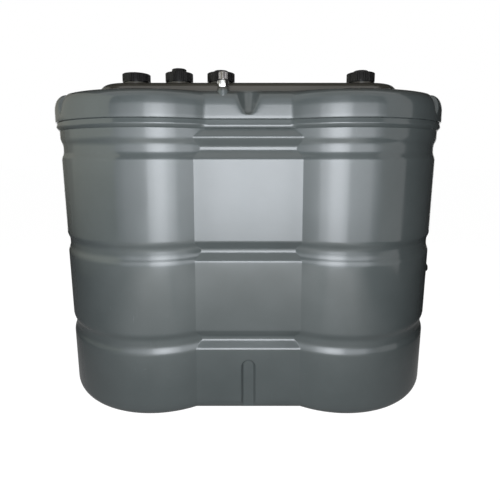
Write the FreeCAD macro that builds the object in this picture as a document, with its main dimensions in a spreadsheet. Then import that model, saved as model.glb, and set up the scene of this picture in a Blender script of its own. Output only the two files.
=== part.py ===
# Bunded fuel storage tank: a moulded outer shell of two upright round lobes joined by a
# flat waist, three horizontal grooves round it, a floor, an overhanging lid with a raised
# plateau, four screw caps on necks, a plated outlet fitting and a plug in the right end.
# Millimetres, +Z up, front towards -Y, origin at the middle of the base.
import os
import math
import FreeCAD
import Part
import Sketcher

doc = FreeCAD.newDocument("fuel_tank")

# Driving sizes, one cell each. Heights stack, so each band moves all that is above it.
SIZES = [
    ("lobe_pitch", 780.0),
    ("lobe_radius", 410.0),
    ("wall_draft", 0.02),
    ("panel_setback", 44.0),
    ("wall", 10.0),
    ("edge_round", 46.0),
    ("base_band", 266.0),
    ("groove_tall", 74.0),
    ("middle_band", 282.0),
    ("label_band", 312.0),
    ("neck_band", 35.0),
    ("bead_tall", 23.0),
    ("rim_tall", 20.0),
    ("groove_depth", 9.0),
    ("panel_groove_depth", 26.0),
    ("bead_out", 11.0),
    ("rim_gap", 4.0),
    ("channel_width", 56.0),
    ("channel_top", 222.0),
    ("channel_depth", 13.0),
    ("lid_overlap", 13.0),
    ("lid_tall", 105.0),
    ("lid_overhang", 14.0),
    ("lid_setback", 64.0),
    ("lid_blend", 14.0),
    ("lid_lean", 10.0),
    ("lid_lean_tall", 46.0),
    ("lid_shoulder", 28.0),
    ("lid_wall", 10.0),
    ("lid_ledge", 46.0),
    ("plateau_half_length", 605.0),
    ("plateau_ledge", 46.4),
    ("plateau_rise", 41.0),
    ("plateau_corner", 140.0),
    ("plateau_slope", 28.0),
    ("plateau_round", 34.0),
    ("scoop_width", 100.0),
    ("scoop_out", 12.0),
    ("scoop_foot", 46.0),
    ("cap_radius", 53.0),
    ("cap_tall", 40.0),
    ("knob_tall", 14.5),
    ("vent_knob_tall", 21.0),
    ("grip_bar_tall", 4.0),
    ("cap_wall", 6.0),
    ("cap_inset", 82.0),
    ("flange_tall", 2.0),
    ("seal_tall", 3.0),
    ("fill_place", -434.0),
    ("vent_place", -268.0),
    ("gauge_place", -106.0),
    ("inspection_place", 436.0),
    ("outlet_place", -92.0),
    ("nut_flats", 39.0),
    ("nut_tall", 26.0),
    ("washer_tall", 2.0),
    ("outlet_boss_rise", 11.0),
    ("pipe_bore_radius", 5.1),
    ("plug_height", 487.0),
    ("plug_radius", 19.5),
    ("plug_reach", 48.0),
    ("plug_collar_tall", 12.0),
    ("end_washer_tall", 4.0),
]
sheet = doc.addObject("Spreadsheet::Sheet", "Params")
for row, (alias, value) in enumerate(SIZES, 1):
    sheet.set("A%d" % row, alias)
    sheet.set("B%d" % row, str(value))
    sheet.setAlias("B%d" % row, alias)
doc.recompute()


class Size:
    """A length that knows its number now and the expression that drives it."""

    def __init__(self, value, text):
        self.value = float(value)
        self.text = text

    def join(self, other, sign, number):
        other = size(other)
        return Size(number(self.value, other.value), "(%s %s %s)" % (self.text, sign, other.text))

    def __add__(self, other):
        return self.join(other, "+", lambda a, b: a + b)

    def __sub__(self, other):
        return self.join(other, "-", lambda a, b: a - b)

    def __mul__(self, other):
        return self.join(other, "*", lambda a, b: a * b)

    def __truediv__(self, other):
        return self.join(other, "/", lambda a, b: a / b)

    def __neg__(self):
        return Size(-self.value, "(0 - %s)" % self.text)


def size(thing):
    if isinstance(thing, Size):
        return thing
    if isinstance(thing, str):
        return Size(sheet.get(thing), "Params.%s" % thing)
    return Size(thing, repr(float(thing)))


def root(thing):
    return Size(math.sqrt(thing.value), "sqrt(%s)" % thing.text)


def bind(thing, prop, length):
    thing.setExpression(prop, size(length).text)


def place(thing, x=0, y=0, z=0):
    for axis, length in (("x", x), ("y", y), ("z", z)):
        bind(thing, "Placement.Base.%s" % axis, length)


def new_body(name):
    body = doc.addObject("PartDesign::Body", name)
    body.Label = name
    return body


def new_sketch(body, name, role, level=None):
    plane = [f for f in body.Origin.OriginFeatures if f.Role == role][0]
    sketch = body.newObject("Sketcher::SketchObject", name)
    sketch.AttachmentSupport = [(plane, "")]
    sketch.MapMode = "FlatFace"
    if level is not None:
        bind(sketch, "AttachmentOffset.Base.z", level)
    return sketch


def dimension(sketch, kind, args, length):
    length = size(length)
    number = sketch.addConstraint(Sketcher.Constraint(kind, *args, length.value))
    sketch.setExpression("Constraints[%d]" % number, length.text)


def polygon(sketch, points):
    """A closed outline, each corner held by its two distances from the origin."""
    spots = [FreeCAD.Vector(size(u).value, size(v).value, 0) for u, v in points]
    count = len(spots)
    for i in range(count):
        sketch.addGeometry(Part.LineSegment(spots[i], spots[(i + 1) % count]), False)
    for i in range(count):
        sketch.addConstraint(Sketcher.Constraint("Coincident", i, 2, (i + 1) % count, 1))
    for i, (u, v) in enumerate(points):
        for kind, axis, length in (("DistanceX", -2, size(u)), ("DistanceY", -1, size(v))):
            if length.value == 0:
                sketch.addConstraint(Sketcher.Constraint("PointOnObject", i, 1, axis))
            else:
                dimension(sketch, kind, (-1, 1, i, 1), length)


def circle(sketch, radius, x=0, y=0):
    x = size(x)
    y = size(y)
    spot = FreeCAD.Vector(x.value, y.value, 0)
    number = sketch.addGeometry(
        Part.Circle(spot, FreeCAD.Vector(0, 0, 1), size(radius).value), False)
    dimension(sketch, "Radius", (number,), radius)
    for kind, axis, length in (("DistanceX", -2, x), ("DistanceY", -1, y)):
        if length.value == 0:
            sketch.addConstraint(Sketcher.Constraint("PointOnObject", number, 3, axis))
        else:
            dimension(sketch, kind, (-1, 1, number, 3), length)


def pad(body, sketch, length, name, both=False, taper=None):
    sketch.recompute()
    feature = body.newObject("PartDesign::Pad", name)
    feature.Profile = sketch
    feature.Midplane = both
    bind(feature, "Length", length)
    if taper is not None:
        bind(feature, "TaperAngle", taper)
    feature.recompute()
    return feature


def revolve(body, sketch, name, turn=360.0):
    sketch.recompute()
    feature = body.newObject("PartDesign::Revolution", name)
    feature.Profile = sketch
    feature.ReferenceAxis = (sketch, ["V_Axis"])
    feature.Angle = turn
    feature.Midplane = turn < 360.0
    feature.recompute()
    return feature


def pocket(body, sketch, length, name):
    """A blind cut; its direction is the one that takes material away."""
    sketch.recompute()
    before = body.Tip.Shape.Volume
    feature = body.newObject("PartDesign::Pocket", name)
    feature.Profile = sketch
    bind(feature, "Length", length)
    feature.recompute()
    if feature.Shape.isNull() or before - feature.Shape.Volume < 1.0:
        feature.Reversed = True
        feature.recompute()
    return feature


def edges_where(feature, test):
    return ["Edge%d" % (i + 1) for i, e in enumerate(feature.Shape.Edges) if test(e)]


def on_top_of(feature):
    """A test for the edges that lie at the top of a feature."""
    level = feature.Shape.BoundBox.ZMax - 0.01
    return lambda edge: edge.BoundBox.ZMin > level


def fillet(body, feature, test, radius, name):
    rounding = body.newObject("PartDesign::Fillet", name)
    rounding.Base = (feature, edges_where(feature, test))
    bind(rounding, "Radius", radius)
    rounding.recompute()
    return rounding


def primitive(kind, name, **sizes):
    thing = doc.addObject("Part::" + kind, name)
    for prop, length in sizes.items():
        bind(thing, prop, length)
    return thing


def fuse(name, *things):
    union = doc.addObject("Part::MultiFuse", name)
    union.Shapes = list(things)
    union.Refine = True
    return union


def cut(name, base, tool):
    result = doc.addObject("Part::Cut", name)
    result.Base = base
    result.Tool = tool
    result.Refine = True
    return result


# Heights of the shell, from the floor up.
groove_tall = size("groove_tall")
half_pitch = size("lobe_pitch") / 2
groove_low = [size("base_band")]
groove_low.append(groove_low[0] + groove_tall + "middle_band")
groove_low.append(groove_low[1] + groove_tall + "label_band")
bead_low = groove_low[2] + groove_tall + "neck_band"
bead_top = bead_low + "bead_tall"
rim_top = bead_top + "rim_tall"
draft = size("wall_draft")
panel_depth = size("lobe_radius") - "panel_setback"


# Shares of a groove's height where its bottom starts and ends, and of its eased corners.
GROOVE_FOOT = 0.40
GROOVE_HEAD = 0.60
GROOVE_EASE = 0.07
BASE_FLATS = 6

# Clearances: a cutter past the face it opens, a raised form sunk into its base, a pin in
# its hole and a cap round its neck.
OVERRUN = 5.0
SINK = 1.0
SLIDE_FIT = 0.5
THREAD_GAP = 1.0

# The lid's skirt overhangs the lobes, and the rim stands a gap inside that skirt.
lid_low = rim_top - "lid_overlap"
lid_radius = size("lobe_radius") + draft * bead_low + "lid_overhang"
lid_depth = lid_radius - "lid_setback"


def base_corner(face, floor, radius):
    """The rounded bottom edge, as short flats from the floor up to the wall."""
    points = []
    for step in range(BASE_FLATS + 1):
        turn = math.pi / 2 * step / BASE_FLATS
        level = floor + radius * (1 - math.cos(turn))
        points.append((face + draft * level - radius * (1 - math.sin(turn)), level))
    return points


def groove_outline(face, low, depth):
    """One groove of the wall: sloped sides and a flat bottom, each corner eased."""
    ease = groove_tall * GROOVE_EASE
    foot = low + groove_tall * GROOVE_FOOT
    head = low + groove_tall * GROOVE_HEAD
    top = low + groove_tall
    outer = face + draft * low
    points = [(outer - draft * ease, low - ease)]
    for share in (0.2, 0.8):
        points.append((outer - depth * share, low + (foot - low) * share))
    points.append((outer - depth, foot + ease))
    points.append((outer - depth, head - ease))
    for share in (0.2, 0.8):
        points.append((outer - depth * (1 - share), head + (top - head) * share))
    points.append((face + draft * (top + ease), top + ease))
    return points


def wall_outline(start, groove, lid_face, inside):
    """Half outline of the drafted, grooved wall up to the beaded rim that the lid covers.

    The inside outline lies a wall behind it and has no bead.
    """
    inset = size("wall") if inside else size(0.0)
    face = start - inset
    points = [(size(0.0), inset)] + base_corner(face, inset, size("edge_round") - inset)
    for low in groove_low:
        points.extend(groove_outline(face, low, groove))
    rim_face = lid_face - "lid_wall" - "rim_gap" - inset
    points.append((rim_face, bead_low))
    if not inside:
        for out, rise in ((0.6, 0.06), (1.0, 0.3), (1.0, 0.7), (0.6, 0.94), (0.0, 1.0)):
            points.append((rim_face + size("bead_out") * out, bead_low + size("bead_tall") * rise))
    end = rim_top + OVERRUN if inside else rim_top
    points.append((rim_face, end))
    points.append((size(0.0), end))
    return points


# A lobe is turned only as far round as it shows, and a little way into the waist.
LOBE_TURN = 260.0


def lobe(name, side, inside):
    body = new_body(name)
    sketch = new_sketch(body, name + "_profile", "XZ_Plane")
    polygon(sketch, wall_outline(size("lobe_radius"), size("groove_depth"), lid_radius, inside))
    revolve(body, sketch, name + "_turned", LOBE_TURN)
    if side < 0:
        body.Placement = FreeCAD.Placement(FreeCAD.Vector(0, 0, 0),
                                           FreeCAD.Rotation(FreeCAD.Vector(0, 0, 1), 180))
    place(body, half_pitch * side)
    return body


def waist(name, inside):
    body = new_body(name)
    sketch = new_sketch(body, name + "_profile", "YZ_Plane")
    side = wall_outline(panel_depth, size("panel_groove_depth"), lid_depth, inside)
    outer = side[1:-1]
    mirror = [(-u, v) for u, v in reversed(outer)]
    polygon(sketch, outer + mirror)
    pad(body, sketch, size("lobe_pitch") * 0.8, name + "_block", both=True)
    return body


# Shell: lobes and waist joined, then hollowed by the same form a wall thickness smaller.
shell_form = fuse("shell_form", lobe("lobe_left", -1, False), lobe("lobe_right", 1, False),
                  waist("waist", False))
shell_hollow = fuse("shell_hollow", lobe("hollow_left", -1, True), lobe("hollow_right", 1, True),
                    waist("hollow_waist", True))


def channel(name, side, grow):
    """The upright round-topped recess low on the waist panel, or the wall backing it."""
    half = size("channel_width") / 2 + grow
    back = panel_depth - "channel_depth" - grow
    run = size("channel_depth") * 2.6 + grow
    start = -(back + run) if side < 0 else back
    block = primitive("Box", name + "_run", Length=half * 2, Width=run,
                      Height=size("channel_top") - size("channel_width") / 2)
    place(block, -half, start, 0)
    arch = primitive("Cylinder", name + "_arch", Radius=half, Height=run)
    arch.Placement = FreeCAD.Placement(FreeCAD.Vector(0, 0, 0),
                                       FreeCAD.Rotation(FreeCAD.Vector(1, 0, 0), -90))
    place(arch, 0, start, size("channel_top") - size("channel_width") / 2)
    return block, arch


hollow = cut("hollow", shell_hollow, fuse(
    "channel_backing", *channel("backing_front", -1, size("wall")),
    *channel("backing_back", 1, size("wall"))))
shell_walls = cut("shell_walls", shell_form, hollow)
shell_channelled = cut("shell_channelled", shell_walls, fuse(
    "channels", *channel("channel_front", -1, size(0.0)), *channel("channel_back", 1, size(0.0))))


def floor_plate(name):
    """Flat base inside the rounded bottom edge, with the same two-lobed outline."""
    flat = size("lobe_radius") - "edge_round"
    deep = panel_depth - "edge_round"
    left = primitive("Cylinder", name + "_left", Radius=flat, Height="wall")
    place(left, -half_pitch)
    right = primitive("Cylinder", name + "_right", Radius=flat, Height="wall")
    place(right, half_pitch)
    middle = primitive("Box", name + "_middle", Length="lobe_pitch", Width=deep * 2, Height="wall")
    place(middle, -half_pitch, -deep, 0)
    return fuse(name, left, right, middle)


bund_floor = floor_plate("bund_floor")
shell_open = cut("shell_open", shell_channelled, bund_floor)

# Right end: a boss on the shell with a bore for the plug.
end_face = half_pitch + "lobe_radius" + draft * "plug_height"
boss_reach = size("plug_reach") * 0.3


def along_x(kind, name, start, **sizes):
    thing = primitive(kind, name, **sizes)
    thing.Placement = FreeCAD.Placement(FreeCAD.Vector(0, 0, 0),
                                        FreeCAD.Rotation(FreeCAD.Vector(0, 1, 0), 90))
    place(thing, start, 0, "plug_height")
    return thing


boss = along_x("Cone", "end_boss", end_face - "wall", Radius1=size("plug_radius") * 2.2,
               Radius2=size("plug_radius") * 1.75, Height=size("wall") + boss_reach)
bore = along_x("Cylinder", "end_bore", end_face - size("wall") * 4.0,
               Radius=size("plug_radius") * 0.8, Height=size("wall") * 5.0 + boss_reach)
bund_shell = cut("bund_shell", fuse("shell_bossed", shell_open, boss), bore)

end_washer = cut("end_washer", along_x("Cylinder", "end_washer_disc", end_face + boss_reach,
                                       Radius=size("plug_radius") * 1.5, Height="end_washer_tall"),
                 along_x("Cylinder", "end_washer_hole", end_face,
                         Radius=size("plug_radius") * 0.8, Height="plug_reach"))
plug_seat = end_face + boss_reach + "end_washer_tall"
end_plug = fuse("end_plug",
                along_x("Cylinder", "end_plug_shank", end_face - size("wall") * 0.5,
                        Radius=size("plug_radius") * 0.8 - SLIDE_FIT,
                        Height=plug_seat - end_face + size("wall") * 0.5 + SINK),
                along_x("Cylinder", "end_plug_collar", plug_seat,
                        Radius=size("plug_radius") * 1.35, Height="plug_collar_tall"),
                along_x("Cylinder", "end_plug_grip", plug_seat + "plug_collar_tall",
                        Radius="plug_radius",
                        Height=end_face + "plug_reach" - plug_seat - "plug_collar_tall"))

# Lid: a shallow upturned tray with a lobed skirt that leans in above, a rounded shoulder
# and a raised plateau.
def lobed_outline(sketch, inset):
    """Two lobes and two flats joined by hollow blends, all tangent, drawn an inset inside."""
    radius = lid_radius - inset
    depth = lid_depth - inset
    blend = size("lid_blend") + inset
    reach = radius + blend
    rise = depth + blend
    step = root(reach * reach - rise * rise)
    flat = half_pitch - step
    up = FreeCAD.Vector(0, 0, 1)
    lean = math.atan2(rise.value, step.value)

    def arc(x, y, r, start, end):
        ring = Part.Circle(FreeCAD.Vector(x, y, 0), up, r.value)
        return sketch.addGeometry(Part.ArcOfCircle(ring, start, end), False)

    def line(x1, y1, x2, y2):
        return sketch.addGeometry(Part.LineSegment(
            FreeCAD.Vector(x1, y1, 0), FreeCAD.Vector(x2, y2, 0)), False)

    quarter = math.pi / 2
    lobe_x = half_pitch.value
    flat_x = flat.value
    rise_y = rise.value
    right = arc(lobe_x, 0, radius, lean - math.pi, math.pi - lean)
    back_right = arc(flat_x, rise_y, blend, -quarter, -lean)
    back = line(flat_x, depth.value, -flat_x, depth.value)
    back_left = arc(-flat_x, rise_y, blend, lean - math.pi, -quarter)
    left = arc(-lobe_x, 0, radius, lean, 2 * math.pi - lean)
    front_left = arc(-flat_x, -rise_y, blend, quarter, math.pi - lean)
    front = line(-flat_x, -depth.value, flat_x, -depth.value)
    front_right = arc(flat_x, -rise_y, blend, lean, quarter)
    joints = [(right, 2, back_right, 2), (back_right, 1, back, 1), (back, 2, back_left, 2),
              (back_left, 1, left, 1), (left, 2, front_left, 2), (front_left, 1, front, 1),
              (front, 2, front_right, 2), (front_right, 1, right, 1)]
    for joint in joints:
        sketch.addConstraint(Sketcher.Constraint("Tangent", *joint))
    for lobe_arc, side in ((right, 1), (left, -1)):
        sketch.addConstraint(Sketcher.Constraint("PointOnObject", lobe_arc, 3, -1))
        dimension(sketch, "DistanceX", (-1, 1, lobe_arc, 3), half_pitch * side)
        dimension(sketch, "Radius", (lobe_arc,), radius)
    for flat_line, side in ((back, 1), (front, -1)):
        sketch.addConstraint(Sketcher.Constraint("Horizontal", flat_line))
        dimension(sketch, "DistanceY", (-1, 1, flat_line, 1), depth * side)
    for blend_arc in (back_right, back_left, front_left, front_right):
        dimension(sketch, "Radius", (blend_arc,), blend)


def rounded_block(sketch, half_length, half_depth, corner):
    """A rectangle about the origin with round corners."""
    half_length = size(half_length)
    half_depth = size(half_depth)
    corner = size(corner)
    inner_x = (half_length - corner).value
    inner_y = (half_depth - corner).value
    up = FreeCAD.Vector(0, 0, 1)
    quarter = math.pi / 2
    lines = []
    arcs = []
    corners = [(inner_x, inner_y), (-inner_x, inner_y), (-inner_x, -inner_y), (inner_x, -inner_y)]
    for i, (x, y) in enumerate(corners):
        ring = Part.Circle(FreeCAD.Vector(x, y, 0), up, corner.value)
        arcs.append(sketch.addGeometry(
            Part.ArcOfCircle(ring, i * quarter, (i + 1) * quarter), False))
        next_x, next_y = corners[(i + 1) % 4]
        out = FreeCAD.Vector(math.cos((i + 1) * quarter), math.sin((i + 1) * quarter), 0)
        lines.append(sketch.addGeometry(Part.LineSegment(
            FreeCAD.Vector(x, y, 0) + out * corner.value,
            FreeCAD.Vector(next_x, next_y, 0) + out * corner.value), False))
    for i in range(4):
        sketch.addConstraint(Sketcher.Constraint("Tangent", arcs[i], 2, lines[i], 1))
        sketch.addConstraint(Sketcher.Constraint("Tangent", lines[i], 2, arcs[(i + 1) % 4], 1))
        dimension(sketch, "Radius", (arcs[i],), corner)
    for number, side in ((0, 1), (2, -1)):
        sketch.addConstraint(Sketcher.Constraint("Horizontal", lines[number]))
        dimension(sketch, "DistanceY", (-1, 1, lines[number], 1), half_depth * side)
    for number, side in ((1, -1), (3, 1)):
        sketch.addConstraint(Sketcher.Constraint("Vertical", lines[number]))
        dimension(sketch, "DistanceX", (-1, 1, lines[number], 1), half_length * side)


CAPS = {"fill": None, "vent": "vent_knob_tall", "gauge": "knob_tall", "inspection": "knob_tall"}
CAP_FLUTES = 20
plateau_depth = lid_depth - "plateau_ledge"
cap_row = -(plateau_depth - "cap_inset")
neck_radius = size("cap_radius") * 0.72
boss_rise = size("cap_tall") * 0.1
plateau_top = size("lid_tall") + "plateau_rise"
outlet_row = -(plateau_depth + size("nut_flats") * 0.4)
outlet_root = size("lid_lean_tall") * 0.74
outlet_seat = size("lid_tall") + "outlet_boss_rise"

lid_body = new_body("lid_form")
place(lid_body, 0, 0, lid_low)
skirt_sketch = new_sketch(lid_body, "lid_outline", "XY_Plane")
lobed_outline(skirt_sketch, size(0.0))
skirt = pad(lid_body, skirt_sketch, "lid_tall", "lid_block")
lean = lid_body.newObject("PartDesign::Chamfer", "lid_leaning_edge")
lean.Base = (skirt, edges_where(skirt, on_top_of(skirt)))
lean.ChamferType = "Two distances"
bind(lean, "Size", "lid_lean_tall")
bind(lean, "Size2", "lid_lean")
lean.recompute()
shoulder = fillet(lid_body, lean, on_top_of(lean), "lid_shoulder", "lid_shoulder_round")
plateau_sketch = new_sketch(lid_body, "plateau_outline", "XY_Plane", size("lid_tall") - SINK)
rounded_block(plateau_sketch, "plateau_half_length", plateau_depth, "plateau_corner")
plateau = pad(lid_body, plateau_sketch, size("plateau_rise") + SINK, "plateau",
              taper=-size("plateau_slope"))
plateau_edge = fillet(lid_body, plateau, on_top_of(plateau), "plateau_round", "plateau_edge_round")
neck_boss_sketch = new_sketch(lid_body, "neck_boss_outline", "XY_Plane", plateau_top - OVERRUN)
for cap in CAPS:
    circle(neck_boss_sketch, size("cap_radius") * 0.95, cap + "_place", cap_row)
neck_bosses = pad(lid_body, neck_boss_sketch, boss_rise + OVERRUN, "neck_bosses")
outlet_boss_sketch = new_sketch(lid_body, "outlet_boss_outline", "XY_Plane",
                                size("lid_tall") - outlet_root)
circle(outlet_boss_sketch, size("nut_flats") * 0.69, "outlet_place", outlet_row)
outlet_boss = pad(lid_body, outlet_boss_sketch, outlet_root + "outlet_boss_rise", "outlet_boss",
                  taper=size(-8.0))

# Underside: room for the rim, the hollow above it, the hollow plateau and the neck holes.
rim_room_sketch = new_sketch(lid_body, "rim_room_outline", "XY_Plane")
lobed_outline(rim_room_sketch, size("lid_wall"))
rim_room = pocket(lid_body, rim_room_sketch, "lid_overlap", "rim_room")
hollow_sketch = new_sketch(lid_body, "lid_hollow_outline", "XY_Plane")
lobed_outline(hollow_sketch, size("lid_ledge"))
lid_hollow = pocket(lid_body, hollow_sketch, size("lid_tall") - "lid_wall", "lid_hollow")
plateau_hollow_sketch = new_sketch(lid_body, "plateau_hollow_outline", "XY_Plane")
plateau_inset = size("lid_wall") * 3.4
rounded_block(plateau_hollow_sketch, size("plateau_half_length") - plateau_inset,
              plateau_depth - plateau_inset, size("plateau_corner") - plateau_inset)
plateau_hollow = pocket(lid_body, plateau_hollow_sketch, plateau_top - "lid_wall",
                        "plateau_hollow")
neck_hole_sketch = new_sketch(lid_body, "neck_hole_outline", "XY_Plane")
for cap in CAPS:
    circle(neck_hole_sketch, neck_radius + SLIDE_FIT, cap + "_place", cap_row)
neck_holes = pocket(lid_body, neck_hole_sketch, plateau_top + boss_rise + OVERRUN, "neck_holes")
outlet_hole_sketch = new_sketch(lid_body, "outlet_hole_outline", "XY_Plane")
circle(outlet_hole_sketch, size("nut_flats") * 0.28, "outlet_place", outlet_row)
outlet_hole = pocket(lid_body, outlet_hole_sketch, outlet_seat + OVERRUN, "outlet_hole")


def scoop(name, x, y):
    """A tapered round notch let into the lid's upper edge, wider towards the top."""
    foot = size("scoop_foot") / 2
    wide = size("scoop_width") / 2
    start = lid_low + "lid_overlap" + foot * 1.07
    ball = primitive("Sphere", name + "_foot", Radius=foot)
    place(ball, x, y, start)
    cone = primitive("Cone", name + "_flare", Radius1=foot, Radius2=wide,
                     Height=lid_low + "lid_tall" + SINK - start)
    place(cone, x, y, start)
    return ball, cone


# Notches: one in the middle of each long side and two on each lobe.
LOBE_SCOOP_TURN = math.radians(43.0)
scoop_reach = lid_radius + "scoop_out"
scoop_x = half_pitch + scoop_reach * math.cos(LOBE_SCOOP_TURN)
scoop_y = scoop_reach * math.sin(LOBE_SCOOP_TURN)
scoops = []
for row, side in (("front", -1), ("back", 1)):
    scoops.extend(scoop("scoop_%s_middle" % row, 0, (lid_depth + "scoop_out") * side))
    scoops.extend(scoop("scoop_%s_left" % row, -scoop_x, scoop_y * side))
    scoops.extend(scoop("scoop_%s_right" % row, scoop_x, scoop_y * side))
lid = cut("lid", lid_body, fuse("scoops", *scoops))

# Necks, seals and screw caps, one set for each opening of the plateau.
seat_level = lid_low + plateau_top + boss_rise


def neck(name, x):
    body = new_body(name)
    sketch = new_sketch(body, name + "_profile", "XZ_Plane")
    bore = neck_radius - "cap_wall"
    flange = size("cap_radius") * 0.9
    polygon(sketch, [(bore, -size("lid_wall") * 1.5), (neck_radius, -size("lid_wall") * 1.5),
                     (neck_radius, 0), (flange, 0), (flange, "flange_tall"),
                     (neck_radius, "flange_tall"),
                     (neck_radius, size("cap_tall") * 0.6), (bore, size("cap_tall") * 0.6)])
    revolve(body, sketch, name + "_turned")
    place(body, x, cap_row, seat_level)
    return body


def seal(name, x):
    ring = cut(name, primitive("Cylinder", name + "_disc", Radius=neck_radius,
                               Height="seal_tall"),
               primitive("Cylinder", name + "_hole", Radius=neck_radius - "cap_wall",
                         Height="seal_tall"))
    place(ring, x, cap_row, seat_level + size("cap_tall") * 0.6)
    return ring


def screw_cap(name, x, knob_tall):
    """A fluted cap whose skirt stands clear of the neck's flange, with a knob or a grip bar."""
    body = new_body(name)
    sketch = new_sketch(body, name + "_profile", "XZ_Plane")
    inner = neck_radius + THREAD_GAP
    low = size("flange_tall") + THREAD_GAP
    roof = size("cap_tall") * 0.6 + "seal_tall"
    top = roof + "cap_wall"
    chamfer = size("cap_wall") / 2
    polygon(sketch, [(0, roof), (inner, roof), (inner, low), ("cap_radius", low),
                     ("cap_radius", top - chamfer), (size("cap_radius") - chamfer, top),
                     (0, top)])
    revolve(body, sketch, name + "_turned")
    flute_sketch = new_sketch(body, name + "_flute_outline", "XY_Plane")
    circle(flute_sketch, size("cap_radius") * 0.08, size("cap_radius") * 1.03, 0)
    flute = pocket(body, flute_sketch, size("cap_tall") * 2, name + "_flute")
    fluting = body.newObject("PartDesign::PolarPattern", name + "_fluting")
    fluting.Originals = [flute]
    fluting.Axis = (flute_sketch, ["N_Axis"])
    fluting.Angle = 360.0
    fluting.Occurrences = CAP_FLUTES
    body.Tip = fluting
    fluting.recompute()
    knob_sketch = new_sketch(body, name + "_knob_outline", "XY_Plane", top - SINK)
    if knob_tall:
        circle(knob_sketch, size("cap_radius") * 0.53)
    else:
        rounded_block(knob_sketch, size("cap_radius") * 0.72, size("cap_radius") * 0.2,
                      size("cap_radius") * 0.12)
    pad(body, knob_sketch, size(knob_tall or "grip_bar_tall") + SINK, name + "_knob")
    place(body, x, cap_row, seat_level)
    return body


pieces = [bund_shell, bund_floor, lid, end_washer, end_plug]
for cap, knob_tall in CAPS.items():
    spot = size(cap + "_place")
    pieces.append(neck(cap + "_neck", spot))
    pieces.append(seal(cap + "_seal", spot))
    pieces.append(screw_cap(cap + "_cap", spot, knob_tall))

# Plated outlet on the conical boss: washer, hexagon nut, ring and barrel round one bore.
nut_flats = size("nut_flats")
outlet_bore = size("pipe_bore_radius")


def outlet_piece(name, level, outer, bore_radius):
    place(outer, "outlet_place", outlet_row, level)
    hole = primitive("Cylinder", name + "_bore", Radius=bore_radius,
                     Height=size("lid_tall") * 2)
    place(hole, "outlet_place", outlet_row, level - size("lid_tall") / 2)
    return cut(name, outer, hole)


washer_level = lid_low + outlet_seat
nut_level = washer_level + "washer_tall"
ring_level = nut_level + "nut_tall"
barrel_level = ring_level + "washer_tall"
stem_low = washer_level - size("lid_tall") / 2
stem = primitive("Cylinder", "outlet_stem_rod", Radius=nut_flats * 0.26,
                 Height=barrel_level - stem_low)
outlet_stem = outlet_piece("outlet_stem", stem_low, stem, outlet_bore * 0.8)
pieces.append(outlet_piece("outlet_washer", washer_level, primitive(
    "Cylinder", "outlet_washer_disc", Radius=nut_flats * 0.5, Height="washer_tall"), nut_flats * 0.26))
hexagon = primitive("Prism", "outlet_nut_block", Circumradius=nut_flats / math.sqrt(3.0),
                    Height="nut_tall")
hexagon.Polygon = 6
pieces.append(outlet_piece("outlet_nut", nut_level, hexagon, nut_flats * 0.26))
pieces.append(outlet_piece("outlet_ring", ring_level, primitive(
    "Cylinder", "outlet_ring_disc", Radius=nut_flats * 0.46, Height="washer_tall"), nut_flats * 0.26))
pieces.append(outlet_piece("outlet_barrel", barrel_level, primitive(
    "Cylinder", "outlet_barrel_rod", Radius=nut_flats * 0.43, Height=nut_flats * 0.75),
    outlet_bore))
pieces.append(outlet_stem)

# Every object must have recomputed cleanly before anything is written.
doc.recompute()
for thing in doc.Objects:
    if "Invalid" in thing.State or "Error" in thing.State:
        raise RuntimeError("%s failed: %s" % (thing.Label, thing.State))
for piece in pieces:
    if piece.Shape.isNull() or not piece.Shape.isValid():
        raise RuntimeError("%s has no valid shape" % piece.Label)
os.makedirs("parts", exist_ok=True)
for piece in pieces:
    piece.Shape.exportStep("parts/%s.step" % piece.Label)
    print(piece.Label, len(piece.Shape.Solids), round(piece.Shape.Volume / 1e6, 3), "litres")
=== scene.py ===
# %% [markdown]
# # A bunded fuel storage tank
# The object is a heating-oil tank of grey moulded plastic: a hollow shell of two upright round
# lobes joined by a flat waist, three grooves round it, an overhanging lid, black screw caps and
# a plated outlet. The construction model gives every piece its place and size in one shared
# frame, in metres. This lesson gives the pieces their soft moulded edges, grip ribs and
# finishes, and keeps every piece inside the space that its solid holds.

# %% Load the frame
import bmesh
import bpy
import math
import numpy as np
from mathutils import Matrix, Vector


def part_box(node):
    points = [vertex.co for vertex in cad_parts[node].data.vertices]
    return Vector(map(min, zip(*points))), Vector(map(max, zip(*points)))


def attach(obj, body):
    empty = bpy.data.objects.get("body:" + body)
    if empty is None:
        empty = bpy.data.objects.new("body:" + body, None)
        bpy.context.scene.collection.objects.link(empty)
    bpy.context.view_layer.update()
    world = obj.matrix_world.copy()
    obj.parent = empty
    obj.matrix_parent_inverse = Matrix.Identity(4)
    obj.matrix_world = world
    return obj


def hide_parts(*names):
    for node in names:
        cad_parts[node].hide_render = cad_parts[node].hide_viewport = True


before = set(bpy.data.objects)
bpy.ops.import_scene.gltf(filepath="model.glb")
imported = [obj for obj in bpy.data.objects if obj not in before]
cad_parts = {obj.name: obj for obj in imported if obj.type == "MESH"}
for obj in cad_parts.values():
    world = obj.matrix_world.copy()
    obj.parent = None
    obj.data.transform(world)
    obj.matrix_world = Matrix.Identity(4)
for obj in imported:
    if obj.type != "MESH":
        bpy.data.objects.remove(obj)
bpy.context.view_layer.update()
scene = bpy.context.scene

# %% [markdown]
# ## Effects that several finishes share
# Moulded plastic is never one flat colour: the tool leaves a fine grain, the powder melts
# a little unevenly, handling leaves scuffs, dust settles on whatever faces up, and a brown film
# stays where rain doesn't run off. Each effect could be painted, but a painted picture is tied
# to one mesh. Here each is a node group that reads the piece's own coordinates, so one group
# serves every material with other values.

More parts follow.
